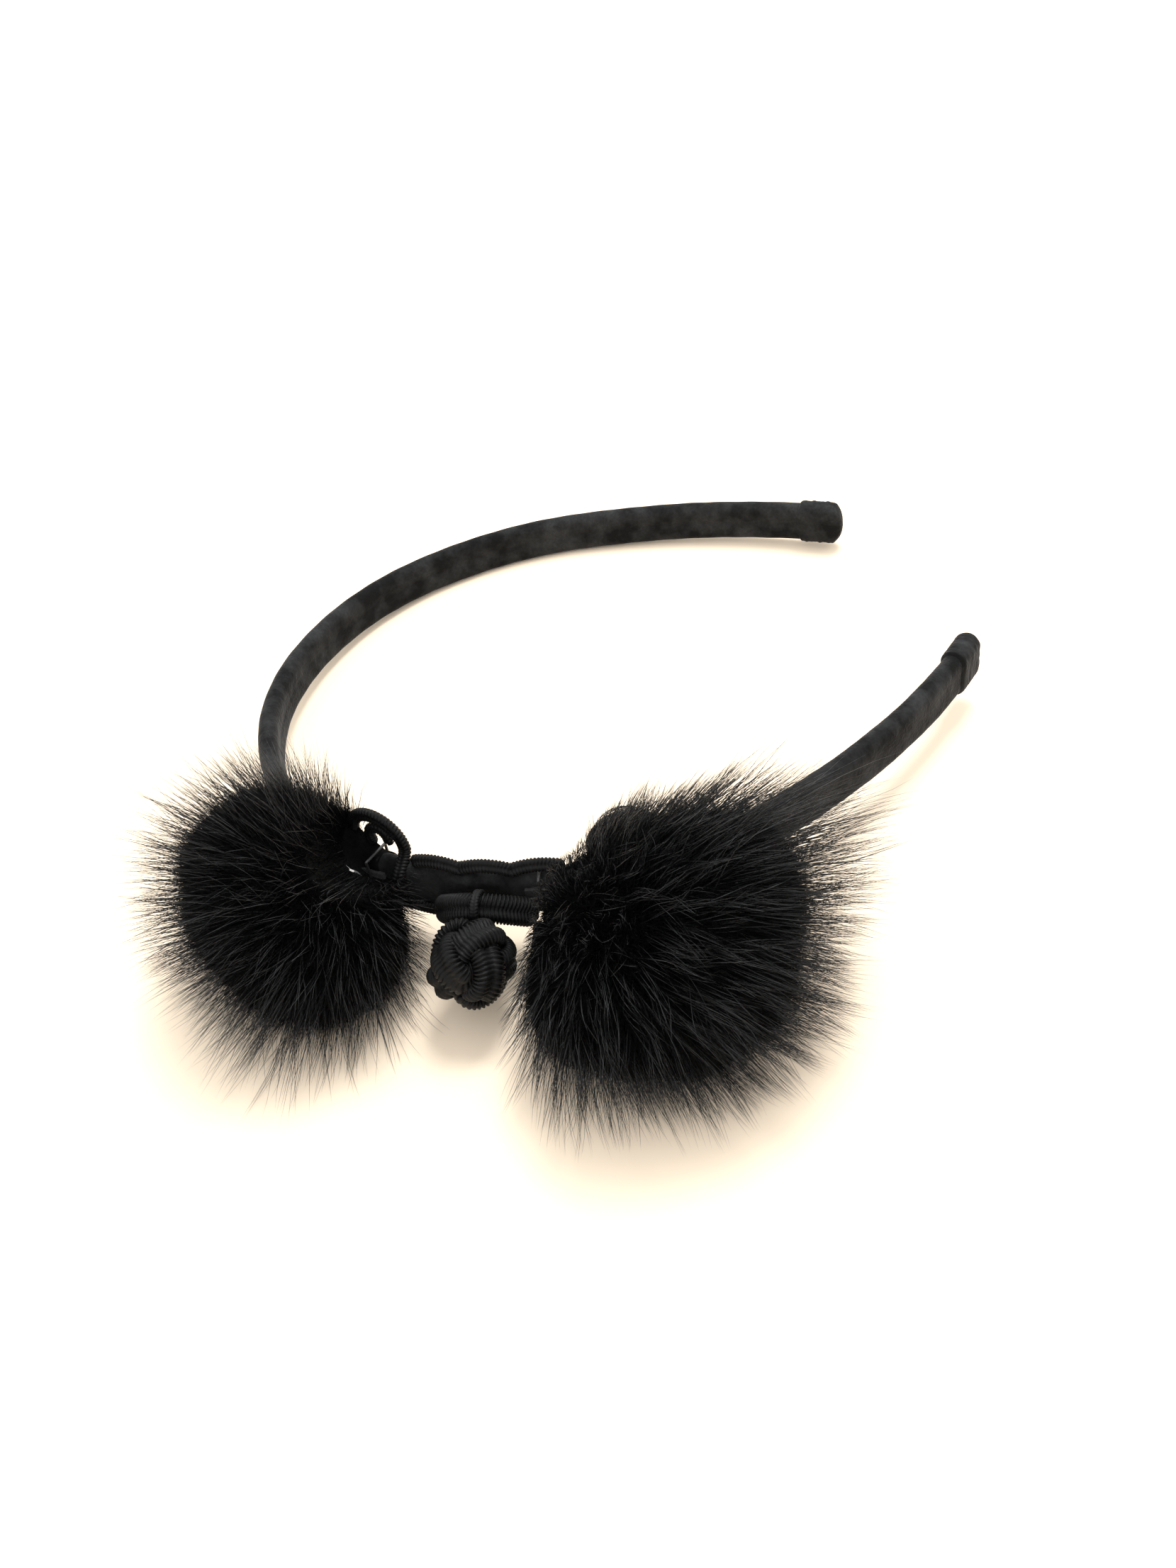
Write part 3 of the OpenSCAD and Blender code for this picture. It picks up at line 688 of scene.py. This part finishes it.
def clear_of_band(points, gap):
    """Points pushed out of the band's section, with a gap.

    A point's place on the band is the angle and radius from the centre of its arc; its
    distance is to the strip's flat middle, and if that is short it is drawn out to the gap.
    """
    flat = (points - band_apex) @ band_axes.T
    mirrored = np.where(flat[..., 0] < 0, -1.0, 1.0)
    side_ways = np.abs(flat[..., 0])
    best = None
    for arc in range(3):
        dx = side_ways - ARC_CENTRES[arc, 0]
        dy = flat[..., 1] - ARC_CENTRES[arc, 1]
        heading = np.arctan2(dx, -dy)
        radius = np.hypot(dx, dy)
        here = (heading >= ARC_HEADINGS[arc]) & (radius > 0.02) if arc else radius > 0.0
        found = np.stack([heading, radius - ARC_RADII[arc]], -1)
        best = found if best is None else np.where(here[..., None], found, best)
    out, up = best[..., 1], flat[..., 2]
    over = up - np.clip(up, -SLEEVE_FLAT, SLEEVE_FLAT)
    near = np.maximum(np.hypot(out, over), 1e-6)
    draw_out = np.maximum(SLEEVE_HALF + gap - near, 0) / near
    away = outward(best[..., 0])
    away = np.stack([away[..., 0] * mirrored, away[..., 1], np.zeros_like(out)], -1)
    push = (out * draw_out)[..., None] * away
    push[..., 2] += over * draw_out
    return points + push @ band_axes


def clear_of_ball(points, middle, radius):
    """Points inside a ball moved straight out to its skin."""
    away = points - middle
    far = np.maximum(np.linalg.norm(away, axis=-1, keepdims=True), 1e-6)
    return middle + away * np.maximum(1, radius / far)


def clear_of_table(points, gap=FLOOR_GAP):
    """Heights below a soft floor bend to lie on it: the larger of the two, with a round corner."""
    high = points[..., 2] - gap
    soft = 0.0012
    softened = np.where(high < soft, soft * np.exp((high - soft) / soft), high)
    points = points.copy()
    points[..., 2] = gap + np.maximum(softened, 0)
    return points


curl_middle = band_place(LEFT_CURL, CURL_OUT, CURL_UP)[0]
right_curl_middle = band_place(RIGHT_CURL, CURL_OUT, CURL_UP)[0]
CURL_BITE, BITE_SOFT = 0.0072, 0.0035
CURL_ROOM, BUTTON_ROOM = 0.0005, 0.0098


def before_curl(points):
    """How far points lie in front of the left curl, and how far off its sight line."""
    away = points - curl_middle
    depth = away @ view_back
    return depth, np.linalg.norm(away - depth[..., None] * view_back, axis=-1)


def settled(points, gap=0.0004):
    """Fur that lies on the table and leaves room for the band, the curls and the button.

    In front of the left curl it is pressed back to the curl's depth, fading out with the
    distance from the sight line.
    """
    depth, off = before_curl(points)
    press = np.maximum(depth + 0.0015, 0) * (1 - eased(off, CURL_BITE, CURL_BITE + BITE_SOFT))
    points = points - press[..., None] * view_back
    points = clear_of_band(points, gap)
    points = clear_of_ball(points, right_curl_middle, CURL_RADIUS + CURL_ROOM)
    points = clear_of_ball(points, button_middle, BUTTON_ROOM)
    return clear_of_table(points)


def eased(value, low, high):
    """From 0 at low to 1 at high, with level ends: three squares less two cubes."""
    gone = np.clip((value - low) / (high - low), 0, 1)
    return gone * gone * (3 - 2 * gone)


def round_the_ear(ways, values):
    """Values at eight even turns, from the right side anticlockwise as seen from the front.

    Straight shares lie between them, and towards the front they run into their mean.
    """
    right, up = ways @ view_right, ways @ view_up
    turn = np.degrees(np.arctan2(up, right)) % 360
    rim = np.interp(turn, np.arange(9) * 45.0, [*values, values[0]])
    mean = float(np.mean(values))
    return mean + (rim - mean) * np.clip(right**2 + up**2, 0, 1)


def ear_frame(mouth, along, lean, rise, reach):
    """The ear's axis leaves the band at a lean and a rise; its ball's middle is a reach away."""
    heading = np.interp(along, ARC_STARTS, ARC_HEADINGS) + math.radians(lean)
    rise = math.radians(rise)
    axis = np.array([math.cos(rise) * math.sin(heading), -math.cos(rise) * math.cos(heading),
                     math.sin(rise)]) @ band_axes
    side = unit(np.cross(axis, band_up))
    return mouth + reach * axis, np.stack([side, np.cross(axis, side), axis])


def skin_distance(from_mouth, radius, reach, neck):
    """How far the skin is from the ball's middle, by the angle from the mouth.

    It is the ball's radius, and near the mouth the straight line from the neck's rim to
    where it touches the ball, whichever reaches further.
    """
    if reach <= radius:
        return np.full_like(from_mouth, radius)
    slope = math.asin(min(1.0, (radius - neck) / reach))
    tx, ty = radius * math.sin(slope), radius * math.cos(slope)
    top = (reach - tx) * ty + (ty - neck) * tx
    line = top / np.maximum((reach - tx) * np.sin(from_mouth)
                            + (ty - neck) * np.cos(from_mouth), 1e-6)
    return np.where(from_mouth < math.atan2(ty, tx), line, radius)


def sunflower(count, start, seed):
    """Directions spread evenly over a ball, from an angle off its mouth to its far side."""
    k = np.arange(count) + 0.5
    jitter = np.random.default_rng(seed).normal(0, 0.35, (2, count))
    low = math.cos(start)
    depth = np.clip(low - (low + 1) * (k + jitter[0]) / count, -1, low)
    turn = math.pi * (3 - math.sqrt(5)) * k + jitter[1] * 2.5 / math.sqrt(count)
    flat = np.sqrt(1 - depth**2)
    return np.stack([flat * np.cos(turn), flat * np.sin(turn), -depth], -1)


def add_hairs(name, spines, widths, shade, finish, body, replaced=(), joint=None):
    """Closed three-sided hairs: each ring is its spine's point plus the width there times
    the corners of a triangle square to the hair, and the last point is the tip."""
    count, rings = spines.shape[0], spines.shape[1] - 1
    ahead = unit(np.gradient(spines, axis=1))[:, :-1]
    any_way = unit(np.random.default_rng(count).normal(size=(count, 1, 3)))
    side = unit(np.cross(ahead, any_way))
    other = np.cross(ahead, side)
    corner = np.arange(3) * 2 * np.pi / 3
    skin = spines[:, :-1, None] + widths[:, :, None, None] * (
        np.cos(corner)[:, None] * side[:, :, None] + np.sin(corner)[:, None] * other[:, :, None])
    points = np.concatenate([skin.reshape(count, -1, 3), spines[:, -1:]], 1)
    per_hair = rings * 3 + 1
    first = (np.arange(count) * per_hair)[:, None, None]
    quads = (ring_quads(rings, 3)[None] + first).reshape(-1, 4)
    last = (rings - 1) * 3
    caps = np.array([[last, last + 1, rings * 3], [last + 1, last + 2, rings * 3],
                     [last + 2, last, rings * 3], [2, 1, 0]])
    triangles = (caps[None] + first).reshape(-1, 3)
    ring_at = np.concatenate([np.repeat(np.arange(rings) / rings, 3), [1.0]])
    edge = 0.0015
    u = shade[:, None] + edge * (np.concatenate([np.tile([0, 1, 2], rings), [1.0]]))[None]
    hair_map = np.stack([u, np.broadcast_to(ring_at, u.shape)], -1).reshape(-1, 2)
    add_piece(name, points.reshape(-1, 3), quads, triangles, finish, body, replaced,
              {"OFBake": (hair_map[quads], hair_map[triangles])}, joint)


def fur_finish(name, root, tip, rough, shine):
    """Hair colour by its own map: the random shade across, and root to tip along."""
    made = Finish(name, IOR=1.5, Specular_IOR_Level=shine)
    place = made.node("ShaderNodeUVMap", {"uv_map": "OFBake"})
    split = made.node("ShaderNodeSeparateXYZ", inputs={0: place}, output=1)
    shade_of = made.node("ShaderNodeSeparateXYZ", inputs={0: place}, output=0)
    made.feed(Base_Color=made.tint(root, tip, split * (0.15 + 0.85 * shade_of**3.0)),
              Roughness=rough + 0.15 * shade_of)
    return made


underfur = fur_finish("underfur", grey(0.001), grey(0.006, -0.08), 0.5, 0.06)
# guard hairs: the pale bluish tips of the few lightest hairs are partly their own lighter tone and
# partly painted glints
guard_hair = fur_finish("guard_hair", grey(0.001), grey(0.11, -0.03), 0.2, 0.25)
pelt_skin = Finish("pelt_skin", IOR=1.45, Specular_IOR_Level=0.05)
wool = pelt_skin.noise(700.0, 4.0)
pelt_skin.feed(Base_Color=pelt_skin.tint(grey(0.0015), grey(0.006), wool),
               Roughness=0.8 + 0.15 * wool)
pelt_skin.relief(wool, 0.0004)

SKIN_RINGS, SKIN_SIDES = 120, 128
WAD_SHARE = 0.6
WOOL_RINGS, GUARD_RINGS = 2, 5


COAT_ROOM = 0.0095 + 0.03 * (np.array(cad_high) - np.array(cad_low))
coat_low = np.array(cad_low) - COAT_ROOM
coat_high = np.array(cad_high) + COAT_ROOM


def within_room(spines):
    """Hairs shortened towards their roots where a tip would pass the room that fur may take."""
    root, reach = spines[:, :1], spines[:, -1:] - spines[:, :1]
    limit = np.where(reach > 0, coat_high, coat_low)
    safe = np.where(np.abs(reach) < 1e-9, 1e-9, reach)
    fit = np.clip((limit - root) / safe, 0.05, 1).min(-1, keepdims=True)
    return root + (spines - root) * fit


def grow(coat, tufts, per_tuft, seed, lengths, set_out, spread, lean, curl, droop, gather,
         loose, rings):
    """Spines of hairs that grow in tufts.

    A tuft's root is where its direction meets the skin, and its hairs start close round it.
    A hair leaves along a mix of the skin's own direction and the direction away from the
    mouth, is bent by a square of the share gone, and its far part is drawn to its tuft's.
    """
    rng = np.random.default_rng(seed)
    axes, reach = coat["axes"], coat["reach"]
    local = np.repeat(sunflower(tufts, coat["start"], seed), per_tuft, 0)
    local = unit(local + rng.normal(0, spread, local.shape))
    roots = (skin_at(coat, local) + set_out)[:, None] * local
    away = unit(roots + np.array([0, 0, reach]))
    tuft_way = np.repeat(rng.normal(0, 0.15, (tufts, 3)), per_tuft, 0)
    own_way = rng.normal(0, loose, local.shape)
    out_way = unit(local * (1 - lean) + away * lean + tuft_way + own_way)
    bend = unit(away + 0.6 * tuft_way) * curl + rng.normal(0, 0.09, local.shape)
    tuft_long = np.repeat(rng.uniform(0.8, 1.15, tufts), per_tuft)
    long = (round_the_ear(local @ axes, lengths) * tuft_long
            * (0.55 + 0.55 * rng.random(len(local)) ** 0.8))
    near_mouth = np.arccos(np.clip(-local[:, 2], -1, 1))
    long = long * (0.45 + 0.55 * eased(near_mouth, coat["start"], coat["start"] + 0.8))
    gone = np.linspace(0, 1, rings + 1)[None, :, None]
    spine = roots[:, None] + long[:, None, None] * (gone * out_way[:, None]
                                                    + gone**2 * bend[:, None])
    tuft_line = spine.reshape(tufts, per_tuft, rings + 1, 3).mean(1)
    spine = spine + gather * gone**1.5 * (np.repeat(tuft_line, per_tuft, 0) - spine)
    spine = spine @ axes + coat["middle"]
    spine[..., 2] -= droop * long[:, None] * gone[0, :, 0] ** 2
    depth, off = before_curl(spine)
    covers = ((depth > 0) & (off < CURL_BITE)).any(1)
    kept = settled(within_room(spine))[~covers]
    return kept, rng.uniform(0.02, 0.97, len(kept))


def skin_at(coat, local):
    """Distance of the skin from the ball's middle: the teardrop, drawn out unevenly."""
    from_mouth = np.arccos(np.clip(-local[..., 2], -1, 1))
    plain = skin_distance(from_mouth, coat["radius"], coat["reach"], coat["neck"])
    ways = local @ coat["axes"]
    lumps = 0.03 * (np.sin(260 * ways @ np.array([0.02, 0.011, 0.013]) + coat["seed"])
                    + np.sin(310 * ways @ np.array([-0.012, 0.02, 0.017]) + 2.0))
    return plain * (round_the_ear(ways, coat["outline"]) + lumps)


def coat_ear(ear, coat, wool, guard, wool_pieces):
    """Skin, underfur and guard hairs of one ear, each bending where it meets the band."""
    joint = ("headband", ear, tuple(coat["mouth"] - 0.001 * coat["axes"][2]),
             tuple(coat["mouth"] + 0.6 * coat["reach"] * coat["axes"][2]))
    turn = np.linspace(0, 2 * np.pi, SKIN_SIDES, endpoint=False)[None, :]
    from_mouth = np.linspace(0.12, math.pi - 0.01, SKIN_RINGS)[:, None]
    local = np.stack([np.sin(from_mouth) * np.cos(turn), np.sin(from_mouth) * np.sin(turn),
                      -np.cos(from_mouth) + 0 * turn], -1)
    skin = settled(skin_at(coat, local)[..., None] * local @ coat["axes"] + coat["middle"],
                   0.0003)
    points = np.concatenate([skin.reshape(-1, 3), skin[:1].mean(1), skin[-1:].mean(1)])
    add_piece(ear + "_skin", points, ring_quads(SKIN_RINGS, SKIN_SIDES),
              end_fans(SKIN_RINGS, SKIN_SIDES), pelt_skin, ear,
              (ear + "_pelt",), None, joint)
    wad = coat["middle"] + WAD_SHARE * (points - coat["middle"])
    add_piece(ear + "_stuffing_wad", wad, ring_quads(SKIN_RINGS, SKIN_SIDES),
              end_fans(SKIN_RINGS, SKIN_SIDES), filling, ear,
              (ear + "_stuffing",), None, joint)
    for k in range(wool_pieces):
        spine, shade = grow(coat, seed=coat["seed"] + k, rings=WOOL_RINGS, **wool)
        thick = 0.000085 * np.array([1.0, 0.75])[None] * (0.8 + 0.4 * shade[:, None])
        add_hairs(f"{ear}_underfur_{k + 1}", spine, thick, shade, underfur, ear,
                  (), joint)
    spine, shade = grow(coat, seed=coat["seed"] + 50, rings=GUARD_RINGS, **guard)
    thick = 0.000058 * np.array([0.9, 1.0, 0.9, 0.7, 0.42])[None] * (
        0.75 + 0.5 * shade[:, None])
    add_hairs(ear + "_guard_hairs", spine, thick, shade, guard_hair, ear, (),
              joint)


def make_coat(mouth, along, lean, rise, reach, radius, start, seed, outline):
    middle, axes = ear_frame(mouth, along, lean, rise, reach)
    return {"mouth": mouth, "middle": middle, "axes": axes, "reach": reach, "radius": radius,
            "neck": 0.0034, "start": start, "seed": seed, "outline": outline}


WOOL_TUFTS, WOOL_PER_TUFT = 2300, 8
left_coat = make_coat(left_mouth, LEFT_EAR_ALONG, -20, 17, 0.0125, 0.0185, 0.6, 100,
                      (1.08, 0.95, 1.00, 1.10, 0.94, 0.82, 1.01, 1.20))
coat_ear("left_ear", left_coat,
         dict(tufts=WOOL_TUFTS, per_tuft=WOOL_PER_TUFT, set_out=0.0, spread=0.04,
              lengths=(0.0045, 0.0045, 0.005, 0.006, 0.006, 0.0055, 0.0065, 0.0055),
              lean=0.5, curl=0.2, droop=0.02, gather=0.5, loose=0.22),
         dict(tufts=1500, per_tuft=3, set_out=0.0022, spread=0.05,
              lengths=(0.010, 0.010, 0.013, 0.015, 0.015, 0.014, 0.019, 0.016),
              lean=0.72, curl=0.10, droop=0.03, gather=0.15, loose=0.10), 2)
right_coat = make_coat(right_mouth, RIGHT_EAR_ALONG, 57, 8, 0.0225, 0.0212, 0.35, 200,
                       (0.97, 1.13, 0.88, 0.86, 0.96, 1.15, 0.93, 1.00))
coat_ear("right_ear", right_coat,
         dict(tufts=WOOL_TUFTS, per_tuft=WOOL_PER_TUFT, set_out=0.0, spread=0.04,
              lengths=(0.0065, 0.006, 0.004, 0.003, 0.0035, 0.007, 0.0065, 0.0065),
              lean=0.5, curl=0.2, droop=0.02, gather=0.6, loose=0.2),
         dict(tufts=1150, per_tuft=6, set_out=0.0022, spread=0.045,
              lengths=(0.017, 0.026, 0.011, 0.004, 0.004, 0.019, 0.015, 0.016),
              lean=0.78, curl=0.12, droop=0.03, gather=0.68, loose=0.08), 3)
